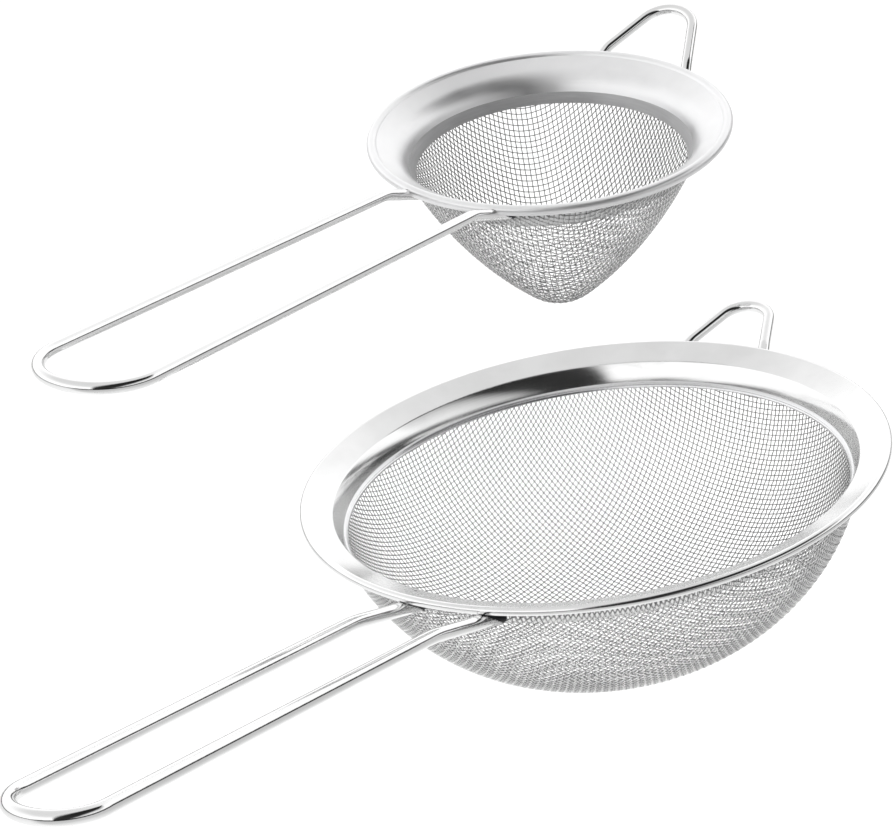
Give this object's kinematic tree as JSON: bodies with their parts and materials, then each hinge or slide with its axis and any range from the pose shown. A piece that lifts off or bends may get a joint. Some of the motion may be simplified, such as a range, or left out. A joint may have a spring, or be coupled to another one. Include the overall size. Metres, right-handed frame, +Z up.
{
  "type": "hand strainer set",
  "caption": "Hand strainer set: woven-mesh bowl strainer with a smaller conical strainer held above it, each with a flared rim, wire loop handle and rest hook.",
  "frame": {"origin": "centre of the bowl strainer's rim circle, level with the axis of its rolled edge", "axes": "+Z up, out of the bowl's mouth; +X towards the rest hooks, -X along the handles; +Y to the left of someone holding the handle"},
  "size_m": [0.2909, 0.14, 0.1369],
  "materials": {
    "polished_steel": "mirror polished stainless sheet",
    "satin_steel": "satin stainless sheet",
    "mesh_wire": "bright woven stainless wire",
    "wire_steel": "polished stainless wire",
    "core_steel": "plain drawn wire",
    "weld_steel": "cleaned weld"
  },
  "bodies": {
    "bowl_strainer": {"bowl_collar": "polished_steel", "bowl_rolled_edge": "polished_steel", "bowl_core_wire": "core_steel", "bowl_inner_band": "satin_steel", "bowl_mesh": "mesh_wire", "bowl_handle": "wire_steel", "bowl_hook": "wire_steel", "bowl_handle_welds": "weld_steel", "bowl_hook_welds": "weld_steel"},
    "cone_strainer": {"cone_collar": "polished_steel", "cone_rolled_edge": "polished_steel", "cone_core_wire": "core_steel", "cone_inner_band": "satin_steel", "cone_mesh": "mesh_wire", "cone_handle": "wire_steel", "cone_hook": "wire_steel", "cone_handle_welds": "weld_steel", "cone_hook_welds": "weld_steel"}
  },
  "joints": [
    {"name": "cone_lift", "type": "slide", "parent": "bowl_strainer", "child": "cone_strainer", "axis": [0, 0, 1], "range_m": [0, 0.12]}
  ]
}
